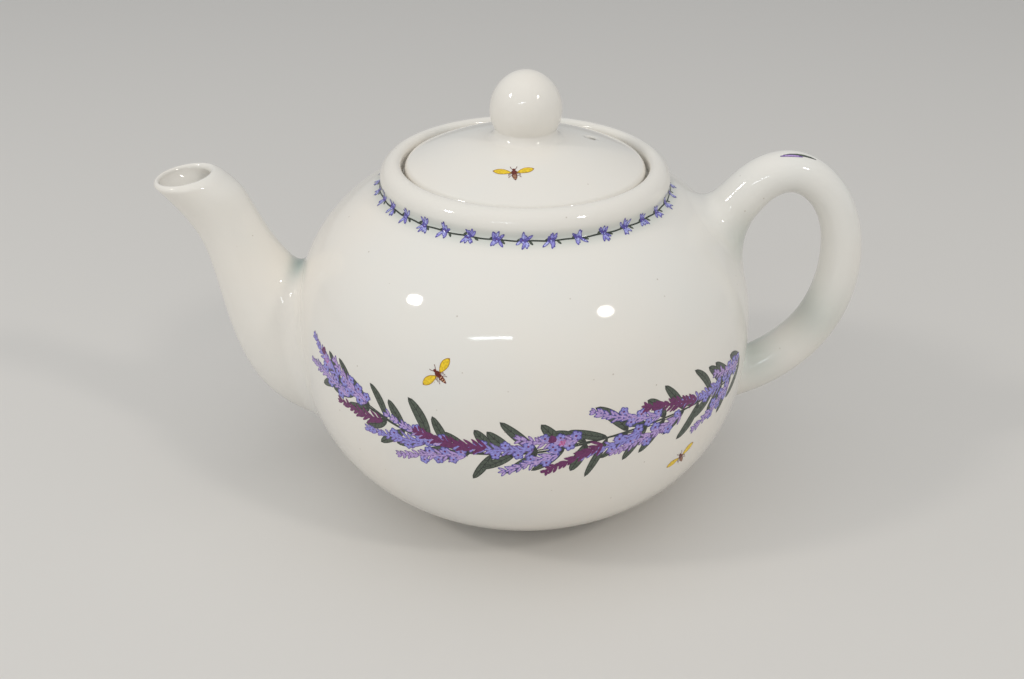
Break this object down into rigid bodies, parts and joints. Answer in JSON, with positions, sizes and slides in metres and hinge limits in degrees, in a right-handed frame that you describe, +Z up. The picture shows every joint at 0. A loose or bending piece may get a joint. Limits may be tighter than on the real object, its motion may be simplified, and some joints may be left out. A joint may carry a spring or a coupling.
{
  "type": "teapot",
  "caption": "Round glazed ceramic teapot with a curved spout, a loop handle and a domed lid with a ball knob that lifts out of its gallery.",
  "frame": {"origin": "middle of the whole pot, from spout tip to handle, at the level it stands on; the pot's own upright axis is 4.6 mm from it towards +X", "axes": "+Z up, +X from the spout towards the handle, +Y towards the far side; the plane y = 0 runs through the spout and the handle"},
  "size_m": [0.2441, 0.16, 0.1532],
  "materials": {
    "glaze": "glossy cream glaze over white earthenware"
  },
  "bodies": {
    "pot": {"pot_body": "glaze", "spout": "glaze", "handle": "glaze"},
    "lid": {"lid": "glaze", "knob": "glaze"}
  },
  "joints": [
    {"name": "lid_lift", "type": "slide", "parent": "pot", "child": "lid", "axis": [0, 0, 1], "range_m": [0, 0.06]}
  ]
}
